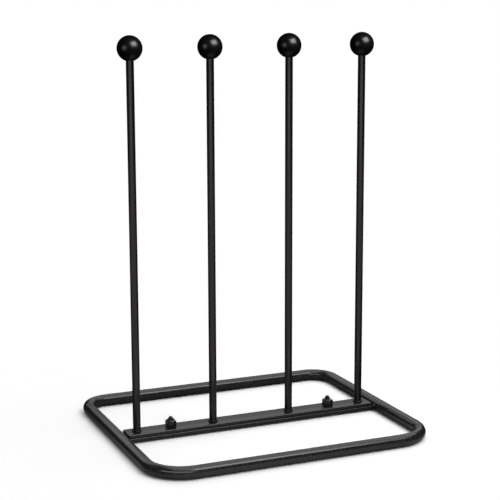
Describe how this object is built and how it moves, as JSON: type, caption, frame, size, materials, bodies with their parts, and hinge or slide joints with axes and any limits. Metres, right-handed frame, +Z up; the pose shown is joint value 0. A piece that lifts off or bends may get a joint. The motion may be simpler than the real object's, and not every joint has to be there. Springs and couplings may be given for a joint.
{
  "type": "boot rack",
  "caption": "Free-standing steel boot rack: a bent tube base frame, a bolted crossbar and upright rods with ball knobs that hold boots upside down.",
  "frame": {"origin": "on the floor, under the middle of the base frame's outline", "axes": "+Z up along the rods, +X to the right along the crossbar, +Y to the back of the rack"},
  "size_m": [0.388, 0.334, 0.518],
  "materials": {
    "frame_coat": "satin black powder coat",
    "ball_knob": "satin gloss black moulded plastic",
    "fastener": "black zinc plating, polished edges",
    "nut_insert": "dark nylon"
  },
  "bodies": {
    "root": {"base_frame": "frame_coat", "frame_seam_weld": "frame_coat", "lower_crossbar": "frame_coat", "upper_crossbar": "frame_coat", "crossbar_weld_left": "frame_coat", "crossbar_weld_right": "frame_coat", "rod_outer_left": "frame_coat", "rod_inner_left": "frame_coat", "rod_inner_right": "frame_coat", "rod_outer_right": "frame_coat", "rod_weld_outer_left": "frame_coat", "rod_weld_inner_left": "frame_coat", "rod_weld_inner_right": "frame_coat", "rod_weld_outer_right": "frame_coat", "ball_knob_outer_left": "ball_knob", "ball_knob_inner_left": "ball_knob", "ball_knob_inner_right": "ball_knob", "ball_knob_outer_right": "ball_knob", "countersunk_screw_left": "fastener", "countersunk_screw_right": "fastener", "lock_nut_left": "fastener", "lock_nut_right": "fastener", "nylon_insert_left": "nut_insert", "nylon_insert_right": "nut_insert"}
  },
  "joints": []
}
